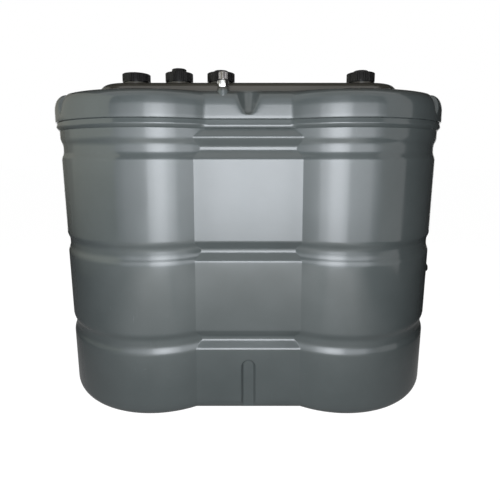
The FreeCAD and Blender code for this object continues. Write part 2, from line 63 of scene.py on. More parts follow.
# %% Node group helpers
def new_group(name, inputs, outputs):
    """An empty shader group with number inputs and number outputs."""
    tree = bpy.data.node_groups.new(name, "ShaderNodeTree")
    for label, value in inputs:
        socket = tree.interface.new_socket(label, in_out="INPUT", socket_type="NodeSocketFloat")
        socket.default_value = value
    for label in outputs:
        tree.interface.new_socket(label, in_out="OUTPUT", socket_type="NodeSocketFloat")
    return tree, tree.nodes.new("NodeGroupInput"), tree.nodes.new("NodeGroupOutput")


def set_inputs(node, **inputs):
    """Links sockets to a node's inputs and sets plain values; an underscore stands for a space."""
    for label, value in inputs.items():
        socket = node.inputs[label.replace("_", " ")]
        if isinstance(value, bpy.types.NodeSocket):
            node.id_data.links.new(value, socket)
        else:
            socket.default_value = value


def add_node(tree, kind, **inputs):
    """A new node with some of its inputs set."""
    node = tree.nodes.new(kind)
    set_inputs(node, **inputs)
    return node


def math_node(tree, operation, first, second, clamp=False):
    """A Math node; each side is a socket or a plain number."""
    node = tree.nodes.new("ShaderNodeMath")
    node.operation = operation
    node.use_clamp = clamp
    for socket, side in zip(node.inputs, (first, second)):
        if isinstance(side, (int, float)):
            socket.default_value = side
        else:
            tree.links.new(side, socket)
    return node.outputs[0]


def noise_node(tree, vector, scale, detail=2.0, rough=0.5):
    """Noise over the piece; the scale is a socket or a plain number."""
    node = add_node(tree, "ShaderNodeTexNoise", Vector=vector, Scale=scale, Detail=detail,
                    Roughness=rough)
    return node.outputs["Fac"]


def range_node(tree, value, low, high, to_low=0.0, to_high=1.0):
    """Maps a stretch of values onto another, without going past its ends."""
    node = add_node(tree, "ShaderNodeMapRange", Value=value, From_Min=low, From_Max=high,
                    To_Min=to_low, To_Max=to_high)
    return node.outputs["Result"]


def stretched(tree, vector, scale):
    """The coordinates, stretched differently along each axis."""
    return add_node(tree, "ShaderNodeMapping", Vector=vector, Scale=scale).outputs["Vector"]


def object_spot(tree):
    """The piece's own coordinates."""
    return tree.nodes.new("ShaderNodeTexCoord").outputs["Object"]


def split_axes(tree, vector):
    """The X, Y and Z of a vector."""
    return add_node(tree, "ShaderNodeSeparateXYZ", Vector=vector).outputs


# %% Moulded grain: fine texture height and slow unevenness
MOTTLE_SCALE = 5.0
grain_group, grain_in, grain_out = new_group(
    "moulded_grain", [("Grain Scale", 700.0), ("Ripple Scale", 60.0), ("Ripple Share", 0.5)],
    ["Height", "Mottle"])
spot = object_spot(grain_group)
grain = noise_node(grain_group, spot, grain_in.outputs["Grain Scale"], rough=0.6)
ripple = noise_node(grain_group, spot, grain_in.outputs["Ripple Scale"], rough=0.45)
ripple = math_node(grain_group, "MULTIPLY", ripple, grain_in.outputs["Ripple Share"])
height = math_node(grain_group, "ADD", grain, ripple)
mottle = noise_node(grain_group, spot, MOTTLE_SCALE, detail=5.0, rough=0.55)
mottle = range_node(grain_group, mottle, low=0.3, high=0.7)
set_inputs(grain_out, Height=height, Mottle=mottle)

# %% Settled dust: only what faces up, in uneven patches
PATCH_SCALE = 14.0
dust_group, dust_in, dust_out = new_group("settled_dust", [("Amount", 0.5)], ["Mask"])
spot = object_spot(dust_group)
facing = dust_group.nodes.new("ShaderNodeNewGeometry").outputs["Normal"]
upward = range_node(dust_group, split_axes(dust_group, facing)["Z"], low=0.25, high=0.95)
patches = noise_node(dust_group, spot, PATCH_SCALE, detail=6.0, rough=0.65)
patches = range_node(dust_group, patches, low=0.25, high=0.7, to_low=0.35)
dust = math_node(dust_group, "MULTIPLY", upward, patches)
dust = math_node(dust_group, "MULTIPLY", dust, dust_in.outputs["Amount"], clamp=True)
set_inputs(dust_out, Mask=dust)

# %% Scuffs: short thin marks from handling, in a few places
UPRIGHT_MARKS = (9.0, 9.0, 0.7)
LEVEL_MARKS = (0.8, 0.8, 9.0)
PLACES_SCALE = 4.0
scuff_group, scuff_in, scuff_out = new_group(
    "handling_scuffs", [("Amount", 0.5), ("Scale", 30.0)], ["Mask"])
spot = object_spot(scuff_group)
marks = [noise_node(scuff_group, stretched(scuff_group, spot, stretch), scuff_in.outputs["Scale"])
         for stretch in (UPRIGHT_MARKS, LEVEL_MARKS)]
marks = math_node(scuff_group, "MAXIMUM", *marks)
marks = range_node(scuff_group, marks, low=0.68, high=0.76)
places = noise_node(scuff_group, spot, PLACES_SCALE, detail=3.0, rough=0.6)
places = range_node(scuff_group, places, low=0.5, high=0.68)
marks = math_node(scuff_group, "MULTIPLY", marks, places)
marks = math_node(scuff_group, "MULTIPLY", marks, scuff_in.outputs["Amount"], clamp=True)
set_inputs(scuff_out, Mask=marks)

# %% Soil: a film that sets in between two heights and covers all that is above
soil_group, soil_in, soil_out = new_group(
    "soiled_top", [("Lowest", 0.0), ("Highest", 1.0)], ["Mask"])
height = split_axes(soil_group, object_spot(soil_group))["Z"]
reach = math_node(soil_group, "SUBTRACT", soil_in.outputs["Highest"], soil_in.outputs["Lowest"])
above = math_node(soil_group, "SUBTRACT", height, soil_in.outputs["Lowest"])
film = math_node(soil_group, "DIVIDE", above, reach, clamp=True)
set_inputs(soil_out, Mask=film)
print("shared effects:", [g.name for g in bpy.data.node_groups])

# %% [markdown]
# ## The finishes
# There are seven: satin grey plastic on the tank, the same with settled dirt on the lid, the grey
# of the necks, black cap plastic, rubber for the seals, bright plating on the nut and a darker
# one on the barrel. A finish is one Principled shader. The groups above vary its colour,
# roughness and bump, and what is the same all over the surface, such as metal or not, stays
# a plain number on the shader's own socket.

# %% A finish from two tones, dust, scuffs and grain
def place_group(tree, group, **values):
    """One of the shared effects in a material, with values of its own."""
    node = tree.nodes.new("ShaderNodeGroup")
    node.node_tree = group
    set_inputs(node, **values)
    return node.outputs


def mix_tone(tree, share, first, second):
    """A colour mix; each colour is a socket or a plain colour."""
    node = tree.nodes.new("ShaderNodeMix")
    node.data_type = "RGBA"
    tree.links.new(share, node.inputs["Factor"])
    for label, side in (("A", first), ("B", second)):
        socket = [s for s in node.inputs if s.name == label and s.type == "RGBA"][0]
        if isinstance(side, tuple):
            socket.default_value = side + (1.0,)
        else:
            tree.links.new(side, socket)
    return [s for s in node.outputs if s.type == "RGBA"][0]


MOTTLE_WEAR = 0.25


def new_finish(name, tones, dust_tone, gloss, grain, dust, scuffs, bump, metal=0.0, shine=0.5):
    """tones are two that mix and one for scuffs, gloss the roughness where cleanest and dullest,
    grain the scales of grain and ripple, the ripple's share and the scuffs' scale, and bump
    a strength and a distance."""
    grain_scale, ripple_scale, ripple_share, scuff_scale = grain
    material = bpy.data.materials.new(name)
    material.use_nodes = True
    tree = material.node_tree
    grain_values = place_group(tree, grain_group, Grain_Scale=grain_scale,
                               Ripple_Scale=ripple_scale, Ripple_Share=ripple_share)
    dust_mask = place_group(tree, dust_group, Amount=dust)["Mask"]
    scuff_mask = place_group(tree, scuff_group, Amount=scuffs, Scale=scuff_scale)["Mask"]
    tone = mix_tone(tree, grain_values["Mottle"], tones[0], tones[1])
    tone = mix_tone(tree, scuff_mask, tone, tones[2])
    tone = mix_tone(tree, dust_mask, tone, dust_tone)
    uneven = math_node(tree, "MULTIPLY", grain_values["Mottle"], MOTTLE_WEAR)
    worn = math_node(tree, "ADD", math_node(tree, "MAXIMUM", dust_mask, scuff_mask), uneven)
    worn = range_node(tree, worn, 0.0, 1.0, to_low=gloss[0], to_high=gloss[1])
    relief = add_node(tree, "ShaderNodeBump", Strength=bump[0], Distance=bump[1],
                      Height=grain_values["Height"]).outputs["Normal"]
    set_inputs(tree.nodes["Principled BSDF"], Base_Color=tone, Roughness=worn, Normal=relief,
               Metallic=metal, Specular_IOR_Level=shine)
    return material


# %% Plastics and rubber
TANK_TONES = [(0.08, 0.092, 0.093), (0.093, 0.106, 0.107), (0.13, 0.145, 0.145)]
TANK_GRAIN = (520.0, 38.0, 0.5, 30.0)
TANK_BUMP = (0.06, 0.0004)
PALE_DUST = (0.115, 0.108, 0.092)
tank_plastic = new_finish(
    "tank_plastic", TANK_TONES, PALE_DUST, gloss=(0.09, 0.42), grain=TANK_GRAIN,
    dust=0.06, scuffs=0.45, bump=TANK_BUMP)
lid_plastic = new_finish(
    "lid_plastic", TANK_TONES, (0.058, 0.054, 0.044), gloss=(0.09, 0.3), grain=TANK_GRAIN,
    dust=0.9, scuffs=0.45, bump=TANK_BUMP)
neck_plastic = new_finish(
    "neck_plastic", [(0.075, 0.085, 0.087), (0.088, 0.098, 0.1), (0.13, 0.14, 0.14)], PALE_DUST,
    gloss=(0.24, 0.6), grain=(900.0, 90.0, 0.3, 60.0), dust=0.4, scuffs=0.4,
    bump=(0.1, 0.0003))
cap_plastic = new_finish(
    "cap_plastic", [(0.0045, 0.0042, 0.0042), (0.008, 0.0074, 0.0072), (0.03, 0.03, 0.03)],
    (0.04, 0.038, 0.034), gloss=(0.12, 0.55), grain=(1400.0, 160.0, 0.4, 90.0),
    dust=0.08, scuffs=0.5, bump=(0.04, 0.0003), shine=0.2)
seal_rubber = new_finish(
    "seal_rubber", [(0.01, 0.01, 0.01), (0.016, 0.016, 0.016), (0.03, 0.03, 0.03)],
    (0.06, 0.06, 0.055), gloss=(0.5, 0.8), grain=(1600.0, 200.0, 0.4, 90.0),
    dust=0.3, scuffs=0.3, bump=(0.2, 0.0003))

# %% Plated metal, bright and dull
METAL_GRAIN = (900.0, 300.0, 0.4, 200.0)
plated_metal = new_finish(
    "plated_metal", [(0.62, 0.61, 0.57), (0.72, 0.71, 0.67), (0.45, 0.43, 0.38)],
    (0.3, 0.28, 0.24), gloss=(0.14, 0.5), grain=METAL_GRAIN, dust=0.25,
    scuffs=0.6, bump=(0.1, 0.0002), metal=1.0)
dull_metal = new_finish(
    "dull_metal", [(0.24, 0.225, 0.215), (0.29, 0.27, 0.26), (0.2, 0.18, 0.16)],
    (0.2, 0.18, 0.15), gloss=(0.14, 0.45), grain=METAL_GRAIN, dust=0.15,
    scuffs=0.3, bump=(0.03, 0.0002), metal=1.0)

# %% Soil on the raised middle of the lid
SOIL_LOWEST = 1.25
SOIL_HIGHEST = 1.262
SOIL_TONE = (0.058, 0.053, 0.043)
tree = lid_plastic.node_tree
base_color = tree.nodes["Principled BSDF"].inputs["Base Color"]
clean_tone = base_color.links[0].from_socket
soil = place_group(tree, soil_group, Lowest=SOIL_LOWEST, Highest=SOIL_HIGHEST)["Mask"]
tree.links.new(mix_tone(tree, soil, clean_tone, SOIL_TONE), base_color)

# %% [markdown]
# ## From rows of points to a piece
# Most pieces here are rings of points stacked along an axis, as a potter's profile is. A ring
# of points joined to the next by four-sided faces gives even faces that reflect smoothly.
# Modelling by hand would do as well, but a rule keeps every edge at its measured place.

# %% Mesh helpers
def closed_mesh(name, points, faces):
    """A mesh with doubled points merged and its normals outward."""
    mesh = bpy.data.meshes.new(name)
    mesh.from_pydata(points, [], faces)
    shape = bmesh.new()
    shape.from_mesh(mesh)
    bmesh.ops.remove_doubles(shape, verts=shape.verts, dist=1e-6)
    bmesh.ops.recalc_face_normals(shape, faces=shape.faces)
    shape.to_mesh(mesh)
    shape.free()
    return mesh


def add_object(name, data):
    """A new object at the origin, in the scene."""
    made = bpy.data.objects.new(name, data)
    scene.collection.objects.link(made)
    return made


SHARP_ANGLE = math.radians(38.0)


def finish_piece(name, mesh, finish, *nodes):
    """A smooth piece that rides the tank and stands for CAD nodes."""
    mesh.materials.clear()
    mesh.materials.append(finish)
    mesh.shade_smooth()
    mesh.set_sharp_from_angle(angle=SHARP_ANGLE)
    piece = add_object(name, mesh)
    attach(piece, "root")
    if nodes:
        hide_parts(*nodes)
    return piece


def ring_faces(rows, columns, loop):
    """Four-sided faces between neighbouring rings; loop also joins the last ring to the first."""
    faces = []
    for row in range(rows if loop else rows - 1):
        above = (row + 1) % rows
        for column in range(columns):
            beside = (column + 1) % columns
            faces.append((row * columns + column, row * columns + beside,
                          above * columns + beside, above * columns + column))
    return faces


# %% [markdown]
# ## The moulded shell
# On the real tank the outer wall is one rotational moulding: it widens slightly upwards, so
# that it leaves its tool, and all its corners are soft. The outline at any height is two lobe
# arcs and two flats, joined by small hollow blends. The profile gives each row the lobe's
# radius and the flat's distance from the middle, and a short running mean over the profile
# rounds every groove corner, as molten plastic would.

# %% Shell sizes
LOBE_X = 0.39
LOBE_RADIUS = 0.41
PANEL_DEPTH = 0.366
DRAFT = 0.02
WALL = 0.01
BASE_ROUND = 0.046
GROOVE_LOWS = (0.266, 0.622, 1.008)
GROOVE_TALL = 0.074
LOBE_GROOVE = 0.009
PANEL_GROOVE = 0.0218
LOBE_SLOPE = 0.28
PANEL_SLOPE = 0.4
NECK_LOW = 1.0895
BEAD_LOW = 1.117
RIM_TOP = 1.16
RIM_LOBE = 0.43234
RIM_PANEL = 0.36834
CREASE = 0.01
RIM_CREASE = 0.042
SOFT_LOBE = 0.013
SOFT_FLAT = 0.006


def groove_share(z, slope):
    """1 on a groove's bottom, 0 between grooves; each side takes a slope's share of its height."""
    stops = [0.0, slope, 1.0 - slope, 1.0]
    return sum(np.interp((z - low) / GROOVE_TALL, stops, [0, 1, 1, 0]) for low in GROOVE_LOWS)


def sharp_wall(z):
    """Radius of the lobe and distance of the flat at height z, with all corners still sharp."""
    neck = np.clip((z - NECK_LOW) / (BEAD_LOW - NECK_LOW), 0.0, 1.0)
    lean_back = PANEL_DEPTH + DRAFT * BEAD_LOW - RIM_PANEL
    lobe = LOBE_RADIUS + DRAFT * z - LOBE_GROOVE * groove_share(z, LOBE_SLOPE)
    panel = PANEL_DEPTH + DRAFT * z - PANEL_GROOVE * groove_share(z, PANEL_SLOPE)
    return np.array([lobe, panel - lean_back * neck])


def wall_face(z):
    """The same with its corners rounded by a running mean over the height, softer on the lobes."""
    shares = np.linspace(-1.0, 1.0, 13)
    weights = np.cos(shares * math.pi / 2) + 0.05
    faces = [[sharp_wall(z + share * reach)[side] for share in shares]
             for side, reach in enumerate((SOFT_LOBE, SOFT_FLAT))]
    return np.array(faces) @ weights / weights.sum()


print("lobe radius and flat at half height:", wall_face(RIM_TOP / 2).round(4))


# %% Heights of the shell's rows
PLAIN_BANDS = ((0.36, 0.6), (0.715, 0.985))
NECK_LEVELS = [1.097, 1.0995, 1.103, 1.1065, 1.11, 1.1135]


def base_rows(inset):
    """The rounded foot, set in by a distance."""
    radius = BASE_ROUND - inset
    rows = []
    for turn in np.linspace(0.0, math.pi / 2, 11):
        z = inset + radius * (1 - math.cos(turn))
        back = inset + radius * (1 - math.sin(turn)) - DRAFT * z
        rows.append((z, LOBE_RADIUS - back, PANEL_DEPTH - back))
    return rows


def wall_levels(step):
    """Heights of the wall's rows: close together where the wall bends or the channel ends."""
    levels = list(np.arange(BASE_ROUND + 0.012, 0.185, 0.024))
    levels += list(np.arange(0.186, 0.25, step))
    for low in GROOVE_LOWS:
        levels += list(np.arange(low - 0.014, low + GROOVE_TALL + 0.013, step))
    for low, high in PLAIN_BANDS:
        levels += list(np.linspace(low, high, 6))
    return sorted(levels + NECK_LEVELS)


def crease_at(z):
    """Radius of the hollow blend between lobe and flat: wider where the flat leans back."""
    return float(np.interp(z, [NECK_LOW, BEAD_LOW], [CREASE, RIM_CREASE]))


# %% Rows from the foot up the outside, over the beaded rim and down the inside
LOBE_BEAD = [(1.117, 0.0), (1.12, 0.003), (1.124, 0.0062), (1.128, 0.009),
             (1.131, 0.0106), (1.1335, 0.011), (1.136, 0.0107), (1.14, 0.0097),
             (1.145, 0.0088), (1.149, 0.0081), (1.15, 0.0076), (1.1504, 0.0)]
FLAT_BEAD = [(1.117, 0.0), (1.1178, 0.0028), (1.119, 0.0056), (1.1208, 0.0082),
             (1.123, 0.0099), (1.1258, 0.0108), (1.1285, 0.011), (1.1312, 0.0106),
             (1.134, 0.0097), (1.1375, 0.0089), (1.142, 0.0081), (1.1465, 0.0074),
             (1.149, 0.007), (1.15, 0.0065), (1.1504, 0.0)]
RIM_ROLL = [(1.1515, 0.0), (1.1575, 0.0), (1.1593, 0.0007), (RIM_TOP, 0.0025),
            (RIM_TOP, 0.0075), (1.1593, 0.0093), (1.1575, WALL), (1.12, WALL)]
OUTER_STEP = 0.0025
INNER_STEP = 0.006


def bead_at(z, bead):
    """How far a bead stands out at a height."""
    return np.interp(z, *zip(*bead))


rows = [(z, lobe, panel, CREASE, 0.0) for z, lobe, panel in base_rows(0.0)]
for z in wall_levels(OUTER_STEP):
    rows.append((z, *wall_face(z), crease_at(z), 0.0))
for z in sorted({z for z, out in LOBE_BEAD + FLAT_BEAD}):
    lobe, panel = RIM_LOBE + bead_at(z, LOBE_BEAD), RIM_PANEL + bead_at(z, FLAT_BEAD)
    rows.append((z, lobe, panel, RIM_CREASE, 0.0))
for z, back in RIM_ROLL:
    rows.append((z, RIM_LOBE - back, RIM_PANEL - back, RIM_CREASE + back, back))
for z in wall_levels(INNER_STEP)[::-1]:
    lobe, panel = wall_face(z)
    rows.append((z, lobe - WALL, panel - WALL, crease_at(z) + WALL, WALL))
for z, lobe, panel in base_rows(WALL)[::-1]:
    rows.append((z, lobe, panel, CREASE + WALL, WALL))
print("shell rows:", len(rows))


# %% One level of a lobed outline, for the shell and the lid
def lobed_corner(lobe, panel, blend):
    """Distance of the blend's centre, the lean of the line from the lobe to it, the flat's end."""
    rise = panel + blend
    step = math.sqrt((lobe + blend) ** 2 - rise ** 2)
    return rise, math.atan2(rise, step), LOBE_X - step


def both_halves(half, z):
    """A closed ring: the second half is the first, turned by half a turn."""
    return [(side * x, side * y, z) for side in (1.0, -1.0) for x, y in half]


def lobed_ring(z, lobe, panel, blend, blend_steps, turns, lobe_dent, flats, flat_dent):
    """Right lobe, back flat, left lobe, front flat, with each point pushed in by its dent."""
    rise, lean, flat = lobed_corner(lobe, panel, blend)
    into = np.linspace(-lean, -math.pi / 2, blend_steps + 2)[1:-1]
    away = np.linspace(-math.pi / 2, lean - math.pi, blend_steps + 2)[1:-1]
    half = [(LOBE_X + (lobe - d) * math.cos(a), (lobe - d) * math.sin(a))
            for a, d in zip(turns, lobe_dent)]
    half += [(flat + blend * math.cos(a), rise + blend * math.sin(a)) for a in into]
    half += [(-u, panel - d) for u, d in zip(flats, flat_dent)]
    half += [(-flat + blend * math.cos(a), rise + blend * math.sin(a)) for a in away]
    return both_halves(half, z)


# %% The upright channel low on both flats
CHANNEL_HALF = 0.028
CHANNEL_TOP = 0.219
CHANNEL_BACK = PANEL_DEPTH - 0.013
CHANNEL_EDGE = 0.012
EDGE_OUT = 0.002
CHANNEL_COLUMNS = np.array([0.0, 0.006, 0.012, 0.0155, 0.0175, 0.0195, 0.021, 0.0225, 0.024,
                            0.0255, 0.027, 0.0285, 0.03, 0.032, 0.038, 0.044])
LOBE_POINTS = 85
CREASE_STEPS = 4


def mirrored(*runs):
    """Places from the middle outwards, and the same on the other side."""
    run = np.concatenate(runs)
    return np.concatenate([-run[:0:-1], run])


def channel_share(x, z, grow):
    """1 inside the round-topped channel, 0 outside, with a soft edge."""
    above = max(0.0, z - (CHANNEL_TOP - CHANNEL_HALF))
    inside = CHANNEL_HALF + grow - np.hypot(x, above)
    share = np.clip((inside + EDGE_OUT) / CHANNEL_EDGE, 0.0, 1.0)
    return share * share * (3 - 2 * share)


def shell_ring(z, lobe, panel, crease, grow):
    """One level of the shell, with the channel pushed into both flats."""
    lean, flat = lobed_corner(lobe, panel, crease)[1:]
    last = CHANNEL_COLUMNS[-1]
    outer = np.linspace(0.2, 1.0, 5) * (flat - last) + last
    x = mirrored(CHANNEL_COLUMNS, outer)
    dent = np.maximum(0.0, panel - (CHANNEL_BACK - grow)) * channel_share(x, z, grow)
    turns = np.linspace(lean - math.pi, math.pi - lean, LOBE_POINTS)
    return lobed_ring(z, lobe, panel, crease, CREASE_STEPS, turns, np.zeros(LOBE_POINTS), x, dent)


# %% The shell as one piece
rings = [shell_ring(*row) for row in rows]
columns = len(rings[0])
points = [point for ring in rings for point in ring]
shell_mesh = closed_mesh("shell_skin", points, ring_faces(len(rings), columns, True))
shell_skin = finish_piece("shell_skin", shell_mesh, tank_plastic, "bund_shell")
print("shell:", len(rings), "rows of", columns, "points,", len(shell_skin.data.polygons), "faces")

# %% [markdown]
# ## Turned pieces
# The boss on the right end, the caps, the nut and the barrel are all turned: one profile goes
# round an axis. Blender's Screw modifier can do that. A short function does it too, and also
# lets the radius change with the angle, which makes a hexagon or a fluted rim from the same
# profile.

# %% Turning a profile round an axis
def turned_piece(name, profile, steps, centre, finish, *nodes, shape=None, along_x=False,
                 loop=False):
    """profile holds radius and height pairs. shape, where given, turns a radius and an angle
    into the radius there. loop joins the last ring to the first."""
    points = []
    for radius, height in profile:
        for column in range(steps):
            angle = 2 * math.pi * column / steps
            here = shape(radius, angle) if shape else radius
            u, v = here * math.cos(angle), here * math.sin(angle)
            local = (height, u, v) if along_x else (u, v, height)
            points.append(tuple(c + l for c, l in zip(centre, local)))
    mesh = closed_mesh(name, points, ring_faces(len(profile), steps, loop))
    finish_piece(name, mesh, finish, *nodes)


# %% The boss on the right end
PLUG_HEIGHT = 0.487
BOSS_BORE = 0.0156
SMALL_STEPS = 72
end_face = LOBE_X + LOBE_RADIUS + DRAFT * PLUG_HEIGHT
boss_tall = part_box("end_washer")[0].x - end_face
boss_profile = [(BOSS_BORE, -0.008), (0.045, -0.008), (0.045, -0.003), (0.0432, 0.0),
                (0.0418, 0.003), (0.0358, boss_tall - 0.003), (0.0348, boss_tall - 0.0009),
                (0.033, boss_tall), (BOSS_BORE, boss_tall)]
turned_piece("end_boss", boss_profile, SMALL_STEPS, (end_face, 0.0, PLUG_HEIGHT), tank_plastic,
             along_x=True, loop=True)
print("end boss at x", round(end_face, 4))

# %% [markdown]
# ## The lid
# The lid is a second moulding: a skirt over the shell's rim, a large round shoulder, a narrow deck
# and a raised plateau for the necks. Six scoops thin the shoulder, one in the middle of each long
# side and two on each lobe. A Boolean cut would give the scoops knife edges, and moulded plastic
# has none, so here the rows of the skirt are pushed in by a smooth hollow instead.

# %% Lid sizes and its profile
LID_LOBE = 0.44625
LID_PANEL = 0.3823
LID_BLEND = 0.03
LID_LOW = 1.1505
SKIRT_LOW = 1.163
DECK = 1.252
SHOULDER_TALL = 0.056
SHOULDER_BACK = 0.029
FLAT_DRAFT = 0.03
PLATEAU_LENGTH = 0.601
PLATEAU_DEPTH = 0.33594
PLATEAU_CORNER = 0.14
PLATEAU_TOP = 1.293
PLATEAU_ROUND = 0.034
ROUND_BACK = 0.0422
ROUND_START = math.radians(60)
SKIRT_TOP = DECK - SHOULDER_TALL
lip_rows = [(LID_LOW, 0.0042), (1.1508, 0.0026), (1.1516, 0.0013), (1.153, 0.0006),
            (1.1555, 0.0003), (1.159, 0.0001)]
skirt_rows = [(z, 0.0) for z in np.linspace(SKIRT_LOW, SKIRT_TOP, 14)]
shoulder_rows = [(DECK - SHOULDER_TALL * (1 - math.sin(a)), SHOULDER_BACK * (1 - math.cos(a)))
                 for a in np.linspace(0.0, math.pi / 2, 24)[1:]]
plateau_rows = [(DECK, 0.0), (1.253, 0.0003), (1.2636, 0.006), (1.275, 0.0122)]
plateau_rows += [(PLATEAU_TOP - PLATEAU_ROUND * (1 - math.cos(a)),
                  ROUND_BACK - PLATEAU_ROUND * math.sin(a))
                 for a in np.linspace(ROUND_START, 0.0, 12)]
print("lid rows:", len(lip_rows + skirt_rows + shoulder_rows), "and", len(plateau_rows))

# %% The scoops
FRONT_SCOOP = (1.1655, 0.014, 0.019, 0.055, 0.045, 1.4)
LOBE_SCOOP = (1.173, 0.01, 0.006, 0.042, 0.038, 1)
SCOOP_TURN = math.radians(43.0)
DEEPENING = 0.8
EDGE_SOFTNESS = 0.25
FADE_END = 2.2
FADE_WIDTH = 0.6


def scoop_dent(u, z, back, scoop):
    """How far a scoop pushes in a point beside its middle line, on a row already set back.
    A scoop is its lowest point, the height of its round foot, its half width at foot and deck,
    its depth at the deck and how softly its sides run out."""
    low, foot, foot_half, deck_half, deck_depth, softness = scoop
    if z <= low:
        return np.zeros_like(u)
    rise = (z - low) / (DECK - low)
    depth = deck_depth * rise ** DEEPENING
    half = foot_half + (deck_half - foot_half) * rise
    under = max(0.0, low + foot - z) / foot
    half *= math.sqrt(max(0.0, 1 - under ** 2)) + 1e-6
    beside = np.minimum(np.abs(u) / half, 3.0)
    hollow = 1 - beside ** 2
    over = depth * np.where(hollow > 0, np.abs(hollow) ** softness, hollow) - back
    soft = EDGE_SOFTNESS * depth
    dent = 0.5 * (over + np.sqrt(over ** 2 + soft ** 2))
    return dent * np.clip((FADE_END - beside) / FADE_WIDTH, 0.0, 1.0)


# %% Rings of the lid's outline: points crowd where a scoop is
BLEND_STEPS = 6
EVEN_TURN = math.radians(80.0)
NEAR_END = 0.0601
near = np.arange(0.0, NEAR_END, 0.003)
even = np.radians(np.linspace(-120.0, 120.0, 97))
close = np.radians(np.arange(-9.0, 9.01, 0.45))
lobe_turns = [a for a in even if abs(abs(a) - SCOOP_TURN) > math.radians(9.3)]
lobe_turns = np.array(sorted(lobe_turns + list(close + SCOOP_TURN) + list(close - SCOOP_TURN)))


def flat_run(flat):
    """Places along a flat, from one end to the other."""
    return mirrored(near, np.linspace(NEAR_END, flat, 7)[1:])


def lid_ring(z, back, scooped=True):
    """The lobed outline, set back by a distance and pushed in by the scoops."""
    lobe, blend = LID_LOBE - back, LID_BLEND + back
    panel = LID_PANEL - back - FLAT_DRAFT * max(0.0, min(z, SKIRT_TOP) - LID_LOW)
    lean, flat = lobed_corner(lobe, panel, blend)[1:]
    stretch = (math.pi - lean) / lobe_turns[-1] - 1
    ease = np.clip((np.abs(lobe_turns) - EVEN_TURN) / (lobe_turns[-1] - EVEN_TURN), 0.0, 1.0)
    turns = lobe_turns * (1 + stretch * ease)
    u = flat_run(flat)
    beside = LID_LOBE * (np.abs(turns) - SCOOP_TURN)
    lobe_dent, flat_dent = np.zeros_like(beside), np.zeros_like(u)
    if scooped:
        lobe_dent = scoop_dent(beside, z, back, LOBE_SCOOP)
        flat_dent = scoop_dent(u, z, back, FRONT_SCOOP)
    return lobed_ring(z, lobe, panel, blend, BLEND_STEPS, turns, lobe_dent, u, flat_dent)


# %% Rings of the plateau: as many points as the lid's outline
PLATEAU_START = 0.175
PLATEAU_FLAT = 0.156


def plateau_ring(z, back):
    """A rounded block, set back by a distance."""
    long, deep, corner = PLATEAU_LENGTH - back, PLATEAU_DEPTH - back, PLATEAU_CORNER - back
    path = [(PLATEAU_START, -deep)]
    for a in np.linspace(-math.pi / 2, math.pi / 2, 80):
        middle = deep - corner if a > 0 else corner - deep
        path.append((long - corner + corner * math.cos(a), corner * math.sin(a) + middle))
    path = np.array(path + [(PLATEAU_START, deep)])
    along = np.concatenate([[0.0], np.cumsum(np.hypot(*np.diff(path, axis=0).T))])
    steps = np.linspace(0.0, along[-1], len(lobe_turns))
    end_x, end_y = (np.interp(steps, along, path[:, axis]) for axis in (0, 1))
    blend = np.linspace(PLATEAU_START, PLATEAU_FLAT, BLEND_STEPS + 2)[1:-1]
    straight = np.concatenate([blend, -flat_run(PLATEAU_FLAT), -blend[::-1]])
    return both_halves(list(zip(end_x, end_y)) + [(x, deep) for x in straight], z)


# %% Cutting round holes
def hollow_out(mesh, places):
    """Cuts upright round holes, each given by its centre, radius, lowest and highest point."""
    shape = bmesh.new()
    for x, y, radius, low, high in places:
        made = bmesh.ops.create_cone(shape, cap_ends=True, segments=72, radius1=radius, radius2=radius,
                                     depth=high - low)
        bmesh.ops.translate(shape, verts=made["verts"], vec=(x, y, (low + high) / 2))
    tool_mesh = bpy.data.meshes.new("hole_cutter")
    shape.to_mesh(tool_mesh)
    shape.free()
    tool = add_object("hole_cutter", tool_mesh)
    body = add_object("hole_body", mesh)
    cut = body.modifiers.new("holes", "BOOLEAN")
    cut.operation = "DIFFERENCE"
    cut.solver = "EXACT"
    cut.object = tool
    view = bpy.context.evaluated_depsgraph_get()
    result = bpy.data.meshes.new_from_object(body.evaluated_get(view))
    bpy.data.objects.remove(body)
    bpy.data.objects.remove(tool)
    return result


# %% Where necks and outlet stand
def centre_of(node):
    """Middle of a solid's box, seen from above."""
    low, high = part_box(node)
    return (low.x + high.x) / 2, (low.y + high.y) / 2


caps = ("fill", "vent", "gauge", "inspection")
necks = {use: centre_of(use + "_neck") for use in caps}
outlet = centre_of("outlet_nut")
print("necks at", {use: [round(v, 4) for v in place] for use, place in necks.items()})

# %% Skin of the lid, from the inside of its top down, round the lip and up the outside
NECK_HOLE = 0.03866
STEM_HOLE = 0.01092
HOLE_TOP = 1.31
INNER_TOP = 1.283
INNER_DECK = 1.242
RIM_SEAT = 1.1602
PLATEAU_WALL = 0.034
LID_WALL = 0.046
SKIRT_WALL = 0.0102
rings = [plateau_ring(INNER_TOP, PLATEAU_WALL), plateau_ring(INNER_DECK, PLATEAU_WALL)]
rings += [lid_ring(z, back, scooped=False) for z, back in (
    (INNER_DECK, LID_WALL), (RIM_SEAT, LID_WALL), (RIM_SEAT, SKIRT_WALL), (LID_LOW, SKIRT_WALL))]
rings += [lid_ring(z, back) for z, back in lip_rows + skirt_rows + shoulder_rows]
rings += [plateau_ring(z, back) for z, back in plateau_rows]
columns = len(rings[0])
points = [point for ring in rings for point in ring]
faces = ring_faces(len(rings), columns, False)
for start in (0, (len(rings) - 1) * columns):
    faces.append(tuple(range(start, start + columns)))
lid_mesh = closed_mesh("lid_skin", points, faces)
holes = [(x, y, NECK_HOLE, 1.26, HOLE_TOP) for x, y in necks.values()]
holes.append(outlet + (STEM_HOLE, 1.15, HOLE_TOP))
lid_skin = finish_piece("lid_skin", hollow_out(lid_mesh, holes), lid_plastic, "lid")
